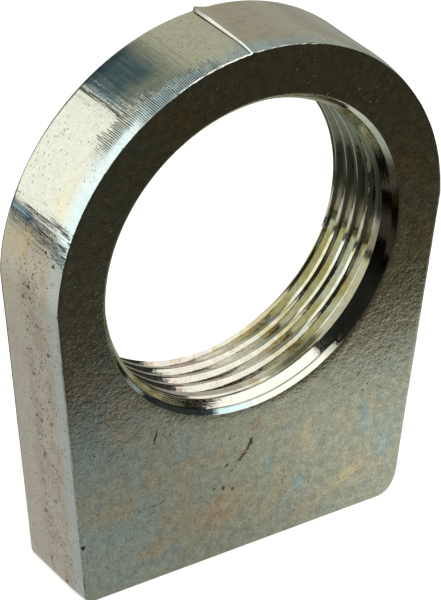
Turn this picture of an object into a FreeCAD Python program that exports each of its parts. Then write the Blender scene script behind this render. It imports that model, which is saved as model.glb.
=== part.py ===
import FreeCAD, Part
import math
import os

from FreeCAD import Vector

# Self-locking nut: one thick cut plate with a round head, tapered sides and a flat foot,
# bored through and threaded. The flat foot bears on its seat, so the nut can't turn.
#
# Frame: origin on the bore's axis at mid-thickness, +Z up from the foot to the round head,
# +Y along the bore from the front face to the back face, +X to the right. Millimetres.

# Plate
head_radius = 37.0          # round head, concentric with the bore
foot_drop = 55.5            # from the bore's axis down to the flat foot
plate_thickness = 16.2
side_half_width = 36.9      # half width across the straight sides, at the height of the axis
side_taper_deg = 6.0        # each side leans in towards the foot
right_corner_radius = 4.4   # the cut rounded this foot corner
left_corner_radius = 1.6    # and turned this one almost sharp

# Edges of the cut
front_flare_depth = 1.8     # band of the cut edge next to the front face
front_flare_inset = 0.5     # how far that band leans in at the face
back_edge_break = 0.3

# Bore and thread
thread_pitch = 3.0
thread_major_diameter = 56.0
thread_height = 0.5413 * thread_pitch                      # basic internal thread, 60 degrees
bore_radius = thread_major_diameter / 2 - thread_height    # crests of the internal thread
mouth_radius = 28.1         # outer edge of the countersink at the front face
countersink_depth = 0.75
lead_in_radius = 27.3       # where the countersink meets the long smooth taper
lead_in_depth = 3.1         # the taper ends here, at the bore's own radius
back_countersink = 0.4
thread_start = 5.05         # depth of the first groove's middle below the front face, at +X
thread_start_deg = 40.0     # the first groove starts this far round, counted from +X
thread_root_flat = thread_pitch / 8

# Raised step across the head, where the cut started and stopped
step_angle_deg = 92.8       # on the head, counted from +X
step_back_height = 0.7
step_back_width = 2.4
step_front_height = 0.3
step_front_width = 1.2
step_root = 0.6             # how deep its foot is sunk in the plate

front_y = -plate_thickness / 2
back_y = plate_thickness / 2
foot_z = -foot_drop
lean = math.radians(side_taper_deg)
down_right = -math.pi / 2   # the foot's outward direction, as an angle from +X


def polar(centre_x, centre_z, radius, angle, y):
    """A point at an angle round a centre, at depth y."""
    return Vector(centre_x + radius * math.cos(angle), y, centre_z + radius * math.sin(angle))


def mirrored(point):
    """The same point on the other side of the plate."""
    return Vector(-point.x, point.y, point.z)


def foot_corner(radius, inset, y):
    """Start, middle and end of the right foot corner's arc, from the side to the foot."""
    inner = max(radius - inset, 0.3)
    centre_z = foot_z + inset + inner
    side_x = side_half_width - inset / math.cos(lean) + centre_z * math.tan(lean)
    centre_x = side_x - inner / math.cos(lean)
    angles = (-lean, (down_right - lean) / 2, down_right)
    return [polar(centre_x, centre_z, inner, angle, y) for angle in angles]


def shoulder_angle(inset):
    """Angle on the head at which a straight side meets it."""
    reach = (side_half_width * math.cos(lean) - inset) / (head_radius - inset)
    return math.acos(min(reach, 1.0)) - lean


def plate_outline(inset, y):
    """Outline of the plate at depth y, moved in by the inset all round."""
    head = head_radius - inset
    right_shoulder = polar(0, 0, head, shoulder_angle(inset), y)
    left_shoulder = mirrored(right_shoulder)
    crown = Vector(0, y, head)
    right = foot_corner(right_corner_radius, inset, y)
    left = [mirrored(point) for point in foot_corner(left_corner_radius, inset, y)]
    return Part.Wire([
        Part.Arc(right_shoulder, crown, left_shoulder).toShape(),
        Part.LineSegment(left_shoulder, left[0]).toShape(),
        Part.Arc(left[0], left[1], left[2]).toShape(),
        Part.LineSegment(left[2], right[2]).toShape(),
        Part.Arc(right[2], right[1], right[0]).toShape(),
        Part.LineSegment(right[0], right_shoulder).toShape(),
    ])


def slab(y_from, y_to):
    """The plate's full outline through a range of depth."""
    face = Part.Face(plate_outline(0, y_from))
    return face.extrude(Vector(0, y_to - y_from, 0))


def edge_band(inset_from, y_from, inset_to, y_to):
    """A thin layer of the plate whose edge leans from one inset to another."""
    return Part.makeLoft([plate_outline(inset_from, y_from), plate_outline(inset_to, y_to)], True, True)


def cut_plate():
    """The blank: its edge leans in at the front face, and has a small break at the back."""
    front_end = front_y + front_flare_depth
    back_end = back_y - back_edge_break
    front_band = edge_band(front_flare_inset, front_y, 0, front_end)
    back_band = edge_band(0, back_end, back_edge_break, back_y)
    return slab(front_end, back_end).fuse([front_band, back_band])


def step_section(height, width, y):
    """Section of the raised step: steep on the left, a long ramp on the right."""
    root = head_radius - step_root
    points = [
        Vector(-0.25 * height, y, root),
        Vector(0, y, head_radius + height),
        Vector(width, y, root + step_root * 0.8),
        Vector(width, y, root),
    ]
    return Part.makePolygon(points + points[:1])


def cut_step():
    """The raised step that runs through the thickness of the head."""
    front = step_section(step_front_height, step_front_width, front_y + front_flare_inset)
    back = step_section(step_back_height, step_back_width, back_y - back_edge_break)
    step = Part.makeLoft([front, back], True, True)
    step.rotate(Vector(0, 0, 0), Vector(0, 1, 0), 90 - step_angle_deg)
    return step


def bore_cutter():
    """Everything that the plain bore removes, turned about its axis."""
    over = 1.0
    countersink_slope = (mouth_radius - lead_in_radius) / countersink_depth
    profile = [
        (0, front_y - over),
        (mouth_radius + countersink_slope * over, front_y - over),
        (lead_in_radius, front_y + countersink_depth),
        (bore_radius, front_y + lead_in_depth),
        (bore_radius, back_y - back_countersink),
        (bore_radius + back_countersink + over, back_y + over),
        (0, back_y + over),
    ]
    points = [Vector(radius, y, 0) for radius, y in profile]
    face = Part.Face(Part.makePolygon(points + points[:1]))
    return face.revolve(Vector(0, 0, 0), Vector(0, 1, 0), 360)


def groove_section():
    """Section of the thread's groove, in the plane of the axis at +X, open towards the axis."""
    root = thread_major_diameter / 2
    tip = bore_radius - 0.1 * thread_pitch
    half_root = thread_root_flat / 2
    half_tip = half_root + (root - tip) * math.tan(math.radians(30))
    points = [
        Vector(tip, -half_tip, 0),
        Vector(root, -half_root, 0),
        Vector(root, half_root, 0),
        Vector(tip, half_tip, 0),
    ]
    return Part.makePolygon(points + points[:1])


def groove_turn():
    """One right-hand turn of the groove, starting at +X and going towards the back."""
    helix = Part.makeHelix(thread_pitch, thread_pitch, thread_major_diameter / 2)
    helix.rotate(Vector(0, 0, 0), Vector(1, 0, 0), -90)
    return Part.Wire(helix.Edges).makePipeShell([groove_section()], True, True)


def threaded(body):
    """Cut the thread turn by turn, from its start near the front face out through the back."""
    start_y = front_y + thread_start - thread_pitch * thread_start_deg / 360
    turns = math.ceil((back_y - start_y) / thread_pitch + 0.5)
    turn = groove_turn()
    turn.rotate(Vector(0, 0, 0), Vector(0, 1, 0), -thread_start_deg)
    for number in range(turns):
        groove = turn.copy()
        groove.translate(Vector(0, start_y + number * thread_pitch, 0))
        body = body.cut(groove)
    return body


def nut_body():
    """The finished nut as one solid."""
    blank = cut_plate().fuse(cut_step())
    bored = blank.cut(bore_cutter()).removeSplitter()
    return threaded(bored)


def main():
    """Build the nut, print its figures and write the STEP file."""
    body = nut_body()
    solid = body.Solids[0]
    box = solid.optimalBoundingBox()
    print("solids", len(body.Solids), "valid", solid.isValid(), "faces", len(solid.Faces))
    print("size", round(box.XLength, 3), round(box.YLength, 3), round(box.ZLength, 3))
    print("volume", round(solid.Volume, 1))
    os.makedirs("parts", exist_ok=True)
    solid.exportStep("parts/nut_body.step")


main()
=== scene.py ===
"""Dresses the self-locking nut: a thick cut plate, bored and threaded, plated and a little stained.

The plate, its cut edge and its threaded bore are modelled as one mesh in millimetres, then scaled
to metres. Round it are a pale floor, four soft boxes and five cards that only reflections see.
"""

import logging
import math
from dataclasses import dataclass, field
from enum import Enum
from functools import cached_property

import bmesh
import bpy
from bmesh.types import BMEdge, BMesh, BMFace, BMVert
from bpy.types import ID, Material, Node, NodeSocket, Object
from mathutils import Matrix, Vector, noise


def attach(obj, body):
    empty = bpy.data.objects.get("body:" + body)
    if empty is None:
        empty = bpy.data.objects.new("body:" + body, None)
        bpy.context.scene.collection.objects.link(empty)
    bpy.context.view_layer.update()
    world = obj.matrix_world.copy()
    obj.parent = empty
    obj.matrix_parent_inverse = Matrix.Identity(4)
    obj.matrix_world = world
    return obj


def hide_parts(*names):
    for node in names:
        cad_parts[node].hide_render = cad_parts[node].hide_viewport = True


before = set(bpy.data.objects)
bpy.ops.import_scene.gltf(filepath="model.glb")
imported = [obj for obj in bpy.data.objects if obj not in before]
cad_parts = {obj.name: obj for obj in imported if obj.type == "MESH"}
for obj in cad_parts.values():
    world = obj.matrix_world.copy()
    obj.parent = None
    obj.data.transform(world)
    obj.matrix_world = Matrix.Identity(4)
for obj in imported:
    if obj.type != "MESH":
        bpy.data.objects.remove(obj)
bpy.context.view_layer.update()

log = logging.getLogger("self_locking_nut")

MM = 0.001
Y_AXIS = Vector((0, 1, 0))
Colour = tuple[float, float, float]
Place = tuple[float, float, float]

# The plate's two faces, and how close two places or two levels count as one, in millimetres.
FRONT_Y = -8.1
BACK_Y = 8.1
SAME_PLACE = 0.002
SAME_LEVEL = 0.01

# Steps round the bore, and as many round the outline, so that the faces between them close evenly.
COLUMNS = 432


class Zone(Enum):
    """Parts of the nut's skin, each with its own finish and material slot."""

    FACE = 0
    BACK = 1
    EDGE = 2
    BORE = 3


# Small helpers.


def smooth_step(low: float, high: float, value: float) -> float:
    """Eases from 0 at low to 1 at high.

    Args:
        low: Value where the ease starts.
        high: Value where it ends. It may be below low.
        value: The value to ease.

    Returns:
        A number from 0 to 1.
    """
    share = min(max((value - low) / (high - low), 0.0), 1.0)
    return share * share * (3 - 2 * share)


def wander(place: Vector, step: float, seed: float) -> float:
    """Smooth noise from about -1 to 1.

    Args:
        place: Where it is read, in millimetres.
        step: Size of its features, in millimetres.
        seed: Shifts the pattern.

    Returns:
        The noise at that place.
    """
    return noise.noise(place / step + Vector((seed, 2.7 * seed, -1.3 * seed)))


def bearing(place: Vector) -> float:
    """Angle of a place round the bore, in degrees from +X towards +Z."""
    return math.degrees(math.atan2(place.z, place.x))


def show(name: str, data: ID) -> Object:
    """Makes an object and links it to the scene.

    Args:
        name: Its name.
        data: Its mesh, light or camera.

    Returns:
        The object.
    """
    item = bpy.data.objects.new(name, data)
    bpy.context.scene.collection.objects.link(item)
    return item


def finish_mesh(bm: BMesh, name: str, material: Material) -> Object:
    """Turns a mesh that is being modelled into an object.

    Args:
        bm: The mesh, which is freed.
        name: The object's name.
        material: Its finish.

    Returns:
        The object.
    """
    mesh = bpy.data.meshes.new(name)
    bm.to_mesh(mesh)
    bm.free()
    mesh.materials.append(material)
    return show(name, mesh)


# The bore.


@dataclass
class ThreadedBore:
    """The bore's wall: countersink, smooth lead-in, right-hand thread and the run-out at the back."""

    pitch: float = 3.0
    root_radius: float = 28.0
    crest_radius: float = 26.376
    crest_flat: float = 0.75
    root_flat: float = 0.375
    flank_softness: float = 0.0012
    mouth_radius: float = 28.1
    countersink_depth: float = 0.75
    lead_in_radius: float = 27.3
    lead_in_depth: float = 2.35
    back_countersink: float = 0.4
    crest_depth: float = 0.55
    start_turn: float = -52.0
    start_fade: float = 70.0
    first_cut: float = 0.22
    first_turn: float = -310.0
    first_fade: float = 50.0
    strips: int = 16
    row_steps: tuple[float, ...] = (0.2, 0.13, 0.07, 0.08, 0.2, 0.22, 0.2, 0.14, 0.07, 0.09, 0.1)
    cut_slack: float = 0.004
    column_slack: float = 0.02

    def groove(self, depth: float, angle: float) -> float:
        """Radius of the thread groove.

        Args:
            depth: Depth below the front face.
            angle: Bearing in degrees.

        Returns:
            The radius, or the crest's radius between grooves.
        """
        turn = (depth - self.crest_depth) / self.pitch + angle / 360
        across = abs(turn - round(turn)) * self.pitch
        half_crest = self.crest_flat / 2
        half_root = (self.pitch - self.root_flat) / 2
        rise = (across - half_crest) / (half_root - half_crest)
        height = self.root_radius - self.crest_radius
        rounded = 0.5 * (rise + math.sqrt(rise * rise + self.flank_softness))
        cut = min(rounded, 1.0) * height
        # How far along the thread, in degrees from where its second groove crosses +X.
        middle = math.floor(turn) + 0.5
        run = (middle - 1.5) * 360 - angle
        fade = max(
            smooth_step(self.start_turn, self.start_turn + self.start_fade, run),
            self.first_cut * smooth_step(self.first_turn, self.first_turn + self.first_fade, run),
        )
        return self.crest_radius + max(cut - (1 - fade) * height, 0.0)

    def radius(self, place: Vector) -> float:
        """Radius of the finished wall.

        Args:
            place: A place on the grid.

        Returns:
            The largest of what the countersinks, the lead-in and the thread cut there.
        """
        depth = place.y - FRONT_Y
        left = BACK_Y - place.y
        slope = (self.mouth_radius - self.lead_in_radius) / self.countersink_depth
        taper = (self.lead_in_radius - self.crest_radius) / (self.lead_in_depth - self.countersink_depth)
        return max(
            self.mouth_radius - slope * depth,
            self.lead_in_radius - taper * (depth - self.countersink_depth),
            self.crest_radius + self.back_countersink - left,
            self.groove(depth, bearing(place)),
        )

    def wall_grid(self, bm: BMesh) -> None:
        """Spins one line of the wall round the axis, a pitch along for each turn, and trims both ends.

        Args:
            bm: The mesh that gets the grid.
        """
        start_y = FRONT_Y + self.crest_depth - 2 * self.pitch
        tip = bmesh.ops.create_vert(bm, co=(self.crest_radius, start_y, 0))["vert"][0]
        steps = self.row_steps + self.row_steps[::-1]
        scale = self.pitch / sum(steps)
        turns = math.ceil((BACK_Y - start_y) / self.pitch) + 1
        for step in steps * turns:
            made = bmesh.ops.extrude_vert_indiv(bm, verts=[tip])
            tip = made["verts"][0]
            tip.co.y += step * scale
        self.spin(bm, 2 * math.pi / self.strips, COLUMNS // self.strips, False)
        self.spin(bm, 2 * math.pi * (1 - 1 / self.strips), self.strips - 1, True)
        bmesh.ops.remove_doubles(bm, verts=bm.verts[:], dist=SAME_PLACE)
        self.cut(bm, FRONT_Y, clear_front=True)
        self.cut(bm, BACK_Y, clear_back=True)
        for depth in (self.countersink_depth, self.lead_in_depth):
            self.cut(bm, FRONT_Y + depth)
        self.cut(bm, BACK_Y - self.back_countersink)
        bmesh.ops.remove_doubles(bm, verts=bm.verts[:], dist=SAME_PLACE)

    def spin(self, bm: BMesh, angle: float, steps: int, copies: bool) -> None:
        """Spins everything round the axis while it moves along the thread.

        Args:
            bm: The mesh.
            angle: How far round, in radians.
            steps: In how many steps.
            copies: True to leave copies, False to sweep faces.
        """
        travel = self.pitch * angle / (2 * math.pi) / steps
        bmesh.ops.spin(
            bm, geom=bm.verts[:] + bm.edges[:] + bm.faces[:], cent=(0, 0, 0), axis=Y_AXIS, angle=angle,
            dvec=(0, travel, 0), steps=steps, use_merge=False, use_duplicate=copies,
        )

    def cut(self, bm: BMesh, level: float, clear_front: bool = False, clear_back: bool = False) -> None:
        """Cuts the grid square to the axis.

        Args:
            bm: The mesh.
            level: Where along the axis.
            clear_front: Removes what lies in front of the cut.
            clear_back: Removes what lies behind it.
        """
        bmesh.ops.bisect_plane(
            bm, geom=bm.verts[:] + bm.edges[:] + bm.faces[:], dist=self.cut_slack, plane_co=(0, level, 0),
            plane_no=Y_AXIS, clear_inner=clear_front, clear_outer=clear_back,
        )

    def settle_rim(self, bm: BMesh, level: float) -> None:
        """Leaves one vertex for each column on an open end, where the slanting rows added more.

        Args:
            bm: The mesh.
            level: Where along the axis the end is.
        """
        rim = [v for v in bm.verts if abs(v.co.y - level) < SAME_LEVEL]
        step = 360 / COLUMNS
        kept = {round(bearing(v.co) / step) % COLUMNS: v for v in rim if self.on_column(v.co)}
        doubles = {v: kept[round(bearing(v.co) / step) % COLUMNS] for v in rim if v not in kept.values()}
        bmesh.ops.weld_verts(bm, targetmap=doubles)

    def on_column(self, place: Vector) -> bool:
        """True where a place lies on one of the grid's columns."""
        turn = bearing(place) * COLUMNS / 360
        return abs(turn - round(turn)) < self.column_slack

    def build(self, bm: BMesh) -> None:
        """Makes the wall and gives each vertex the radius that its place asks for.

        Args:
            bm: The mesh that gets the wall.
        """
        self.wall_grid(bm)
        for level in (FRONT_Y, BACK_Y):
            self.settle_rim(bm, level)
        for vert in bm.verts:
            reach = self.radius(vert.co) / math.hypot(vert.co.x, vert.co.z)
            vert.co.x *= reach
            vert.co.z *= reach
        for face in bm.faces:
            face.material_index = Zone.BORE.value


# The plate.


@dataclass
class CutStep:
    """The raised step across the head, where the cut started and stopped."""

    angle: float = 92.8
    back_height: float = 0.68
    front_height: float = 0.16
    back_width: float = 2.3
    front_width: float = 1.1
    wall: float = 0.2
    slope_curve: float = 1.3

    def share(self, place: Vector) -> float:
        """0 at the front face and 1 at the back."""
        return min(max((place.y - FRONT_Y) / (BACK_Y - FRONT_Y), 0.0), 1.0)

    def height(self, place: Vector, radius: float) -> float:
        """How far the step stands out of the head.

        Args:
            place: A place on the head.
            radius: The head's radius.

        Returns:
            The height, in millimetres.
        """
        share = self.share(place)
        top = self.front_height + (self.back_height - self.front_height) * share
        width = self.front_width + (self.back_width - self.front_width) * share
        along = math.radians(self.angle - bearing(place)) * radius
        if along < 0:
            return top * max(1 + along / self.wall, 0.0)
        return top * max(1 - along / width, 0.0) ** self.slope_curve

    def lines(self) -> list[tuple[float, float]]:
        """Where the step's edges run.

        Returns:
            For each edge, its distance along the head at the front face and at the back.
        """
        slope = [(self.front_width * share, self.back_width * share) for share in (0.0, 1.0, 0.5)]
        return [(-self.wall, -self.wall), *slope]


@dataclass
class CutPlate:
    """The plate's cut edge and its two faces, round a bore that is already in the mesh."""

    head_radius: float = 37.0
    foot_z: float = -55.5
    half_width: float = 36.9
    lean: float = math.radians(6)
    left_corner: float = 1.6
    right_corner: float = 4.4
    left_segments: int = 4
    right_segments: int = 10
    roll_depth: float = 4.2
    roll_inset: float = 0.5
    roll_curve: float = 2.2
    foot_roll: float = 0.2
    foot_waves: float = 0.2
    foot_reach: float = 5.5
    back_break: float = 0.1
    back_round: float = 0.5
    waves: tuple[tuple[float, float, float], ...] = ((0.035, 9.0, 3.1), (0.012, 2.2, 8.4))
    chip_reach: float = 0.5
    chip_depth: float = 0.03
    top_chip_depth: float = 0.13
    top: tuple[float, float, float, float] = (50, 75, 108, 132)
    crown_height: float = 3.0
    held_apart: float = 20.0
    front_rings: int = 15
    back_rings: int = 7
    step: CutStep = field(default_factory=CutStep)
    rows: tuple[float, ...] = (
        0.0, 0.3, 0.6, 1.0, 1.5, 2.1, 2.8, 3.6, 4.6, 5.8, 7.0, 8.2, 9.4, 10.6, 11.8, 13.0, 14.0, 15.0, 15.45,
        15.7, 15.95, 16.2,
    )

    def outline(self, bm: BMesh) -> list[BMEdge]:
        """Draws the plate's outline at the front: a spun head, two leaning sides and a foot.

        Args:
            bm: The mesh that gets the outline.

        Returns:
            The outline's edges, as many as there are columns.
        """
        shoulder = math.acos(self.half_width * math.cos(self.lean) / self.head_radius) - self.lean
        start = bmesh.ops.create_vert(bm, co=self.on_head(shoulder))["vert"][0]
        head_steps = round(COLUMNS * (math.pi - 2 * shoulder) / (2 * math.pi))
        spun = bmesh.ops.spin(
            bm, geom=[start], cent=(0, FRONT_Y, 0), axis=Y_AXIS, angle=2 * shoulder - math.pi,
            steps=head_steps, use_merge=False, use_duplicate=False,
        )
        left_shoulder = next(g for g in spun["geom_last"] if isinstance(g, BMVert))
        foot_x = self.half_width + self.foot_z * math.tan(self.lean)
        left_foot = self.grow(bm, left_shoulder, (-foot_x, FRONT_Y, self.foot_z))
        right_foot = self.grow(bm, left_foot, (foot_x, FRONT_Y, self.foot_z))
        bmesh.ops.contextual_create(bm, geom=[right_foot, start])
        bmesh.ops.contextual_create(bm, geom=bm.edges[:])
        tangent = 1 / math.tan(math.pi / 4 + self.lean / 2)
        for corner, radius, segments in (
            (left_foot, self.left_corner, self.left_segments),
            (right_foot, self.right_corner, self.right_segments),
        ):
            bmesh.ops.bevel(
                bm, geom=[corner], offset=radius * tangent, offset_type="OFFSET", segments=segments,
                profile=0.5, affect="VERTICES", material=-1, clamp_overlap=True,
            )
        self.divide(bm)
        bmesh.ops.delete(bm, geom=bm.faces[:], context="FACES_ONLY")
        return bm.edges[:]

    def on_head(self, angle: float) -> Vector:
        """Place on the round head at the front face."""
        return Vector((self.head_radius * math.cos(angle), FRONT_Y, self.head_radius * math.sin(angle)))

    def grow(self, bm: BMesh, vert: BMVert, place: Place) -> BMVert:
        """Draws one straight edge on from a vertex.

        Args:
            bm: The mesh.
            vert: Where the edge starts.
            place: Where it ends.

        Returns:
            The vertex at its end.
        """
        end = bmesh.ops.extrude_vert_indiv(bm, verts=[vert])["verts"][0]
        end.co = place
        return end

    def divide(self, bm: BMesh) -> None:
        """Divides the sides and the foot until the outline has one edge for each column.

        Args:
            bm: The mesh, which holds the outline alone.
        """
        long_edges = sorted(bm.edges, key=lambda e: e.calc_length())[-3:]
        spare = COLUMNS - len(bm.edges)
        angles = [e.verts[0].co.angle(e.verts[1].co) for e in long_edges]
        cuts = [round(spare * angle / sum(angles)) for angle in angles]
        cuts[-1] += spare - sum(cuts)
        for edge, count in zip(long_edges, cuts):
            bmesh.ops.subdivide_edges(bm, edges=[edge], cuts=count)

    def edge_wall(self, bm: BMesh, ring: list[BMEdge]) -> None:
        """Draws the outline out to the back face, one row after another.

        Args:
            bm: The mesh.
            ring: The outline's edges at the front.
        """
        depth = 0.0
        for row in self.rows[1:]:
            made = bmesh.ops.extrude_edge_only(bm, edges=ring)["geom"]
            verts = [g for g in made if isinstance(g, BMVert)]
            ring = [g for g in made if isinstance(g, BMEdge) and all(v in verts for v in g.verts)]
            bmesh.ops.translate(bm, verts=verts, vec=(0, row - depth, 0))
            depth = row

    def lean_in(self, depth: float) -> float:
        """How far the edge lies inside the full outline, for its roll at the front and its break at the back.

        Args:
            depth: Depth below the front face.

        Returns:
            The distance, in millimetres.
        """
        front = self.roll_inset * max(1 - depth / self.roll_depth, 0.0) ** self.roll_curve
        back = max(depth - (BACK_Y - FRONT_Y) + self.back_round, 0.0) / self.back_round
        return front + self.back_break * back ** 2

    def roll_edge(self, bm: BMesh) -> None:
        """Moves the edge's vertices in to the roll, the break and the small waves of the cut.

        Args:
            bm: The mesh, which holds the edge alone.
        """
        bmesh.ops.recalc_face_normals(bm, faces=bm.faces[:])
        middle_z = (self.head_radius + self.foot_z) / 2
        for vert in bm.verts:
            outward = vert.normal.copy()
            if outward.dot(Vector((vert.co.x, 0, vert.co.z - middle_z))) < 0:
                outward.negate()
            faces_down = smooth_step(0.4, 0.95, -outward.z)
            inset = self.lean_in(vert.co.y - FRONT_Y) * (1 - (1 - self.foot_roll) * faces_down)
            rough = sum(height * (1 + wander(vert.co, size, seed)) for height, size, seed in self.waves)
            if vert.co.y < FRONT_Y + self.chip_reach:
                rough += self.chipped(vert.co)
            if vert.co.z < self.foot_z + self.foot_reach:
                rough *= self.foot_waves
            vert.co -= outward * (inset + rough)

    def chipped(self, place: Vector) -> float:
        """How deep the front edge is chipped: most of all over the top.

        Args:
            place: A place on the front edge.

        Returns:
            The depth, in millimetres.
        """
        start, full, fade, end = self.top
        over_top = smooth_step(start, full, bearing(place)) * smooth_step(end, fade, bearing(place))
        deepest = self.chip_depth + self.top_chip_depth * over_top
        return deepest * max(wander(place, step=0.9, seed=5.7), 0.0)

    def raise_step(self, bm: BMesh) -> None:
        """Cuts the head's edge along the raised step's lines, and lifts it between them.

        Args:
            bm: The mesh.
        """
        angle = math.radians(self.step.angle)
        for line in self.step.lines():
            front, back = (self.on_head(angle - along / self.head_radius) for along in line)
            back.y = BACK_Y
            across = (back - front).cross(Vector((front.x, 0, front.z))).normalized()
            crown = self.crown(bm)
            geom = {*crown, *(e for f in crown for e in f.edges), *(v for f in crown for v in f.verts)}
            bmesh.ops.bisect_plane(bm, geom=list(geom), dist=SAME_PLACE, plane_co=front, plane_no=across)
        for vert in {v for f in self.crown(bm) for v in f.verts}:
            outward = Vector((vert.co.x, 0, vert.co.z)).normalized()
            vert.co += outward * self.step.height(vert.co, self.head_radius)

    def crown(self, bm: BMesh) -> list[BMFace]:
        """The faces of the cut edge at the top of the head."""
        low = self.head_radius - self.crown_height
        return [f for f in bm.faces if f.material_index == Zone.EDGE.value and f.calc_center_median().z > low]

    def on_edge(self, vert: BMVert) -> bool:
        """True for a vertex of the cut edge."""
        return any(face.material_index == Zone.EDGE.value for face in vert.link_faces)

    def face_plate(self, bm: BMesh, level: float, zone: Zone, cuts: int) -> None:
        """Closes the plate from the bore's end to the cut edge, in rings.

        Two loops in one plane don't show which way round they match, so the outer one is held
        apart while they are bridged.

        Args:
            bm: The mesh.
            level: Where along the axis the face lies.
            zone: The finish it takes.
            cuts: How many rings lie between.
        """
        old = set(bm.faces)
        ends = [e for e in bm.edges if e.is_boundary]
        rims = [e for e in ends if all(abs(v.co.y - level) < SAME_LEVEL for v in e.verts)]
        outer = [v for v in {v for e in rims for v in e.verts} if self.on_edge(v)]
        apart = Vector((0, math.copysign(self.held_apart, level), 0))
        bmesh.ops.translate(bm, verts=outer, vec=apart)
        bmesh.ops.bridge_loops(bm, edges=rims)
        bmesh.ops.translate(bm, verts=outer, vec=-apart)
        spokes = {e for face in bm.faces if face not in old for e in face.edges} - set(rims)
        bmesh.ops.subdivide_edges(bm, edges=list(spokes), cuts=cuts, use_grid_fill=True)
        for face in bm.faces:
            if face not in old:
                face.material_index = zone.value

    def build(self, bm: BMesh) -> None:
        """Makes the cut edge, still without the faces.

        Args:
            bm: An empty mesh that gets it.
        """
        self.edge_wall(bm, self.outline(bm))
        for face in bm.faces:
            face.material_index = Zone.EDGE.value
        self.roll_edge(bm)

    def close(self, bm: BMesh) -> None:
        """Adds both faces between the cut edge and the bore's ends, and raises the step.

        Args:
            bm: The mesh that holds both.
        """
        self.face_plate(bm, FRONT_Y, Zone.FACE, self.front_rings)
        self.face_plate(bm, BACK_Y, Zone.BACK, self.back_rings)
        self.raise_step(bm)


@dataclass
class NutBody:
    """The whole nut as one piece."""

    bore: ThreadedBore = field(default_factory=ThreadedBore)
    plate: CutPlate = field(default_factory=CutPlate)
    edge_round: float = 0.14
    sharp_deg: float = 26.0

    def build(self, finishes: dict[Zone, Material]) -> Object:
        """Models the nut and dresses it.

        Args:
            finishes: The material of each zone.

        Returns:
            The finished object, in metres.
        """
        bm = bmesh.new()
        self.bore.build(bm)
        mesh = bpy.data.meshes.new("self_locking_nut")
        bm.to_mesh(mesh)
        bm.clear()
        self.plate.build(bm)
        bm.from_mesh(mesh)
        self.plate.close(bm)
        bmesh.ops.recalc_face_normals(bm, faces=bm.faces[:])
        self.soften_corners(bm)
        for vert in bm.verts:
            vert.co.y = min(max(vert.co.y, FRONT_Y), BACK_Y)
        bmesh.ops.scale(bm, vec=(MM, MM, MM), verts=bm.verts[:])
        limit = math.radians(self.sharp_deg)
        for face in bm.faces:
            face.smooth = True
        for edge in bm.edges:
            edge.smooth = edge.calc_face_angle(0.0) < limit
        bm.to_mesh(mesh)
        bm.free()
        for zone in Zone:
            mesh.materials.append(finishes[zone])
        return show(mesh.name, mesh)

    def soften_corners(self, bm: BMesh) -> None:
        """Rounds the edges where the two faces meet the cut edge and the bore.

        Args:
            bm: The mesh.
        """
        corners = [e for e in bm.edges if len({f.material_index for f in e.link_faces}) == 2]
        bmesh.ops.bevel(
            bm, geom=corners, offset=self.edge_round, offset_type="OFFSET", segments=2, profile=0.5,
            affect="EDGES", material=-1, clamp_overlap=True,
        )


# Finishes. Their places and sizes are in millimetres, like the mesh before it is scaled.

# Where a spot ends and where it is full, as shares of its radius.
SPOT_RIM = (1.15, 0.6)


@dataclass(frozen=True)
class Stain:
    """A stain or scratch at one place of a face.

    Attributes:
        x: Its centre along X.
        z: Its centre along Z.
        wide: Half its length.
        tall: Half its width.
        turn: The way it runs, in degrees from +X towards +Z.
        colour: Its colour.
        strength: How much of that shows.
        soft: How much of its size fades out.
        ragged: How uneven its outline is.
    """

    x: float
    z: float
    wide: float
    tall: float
    turn: float = 0.0
    colour: Colour = (0.06, 0.05, 0.035)
    strength: float = 0.8
    soft: float = 0.5
    ragged: float = 0.0


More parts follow.
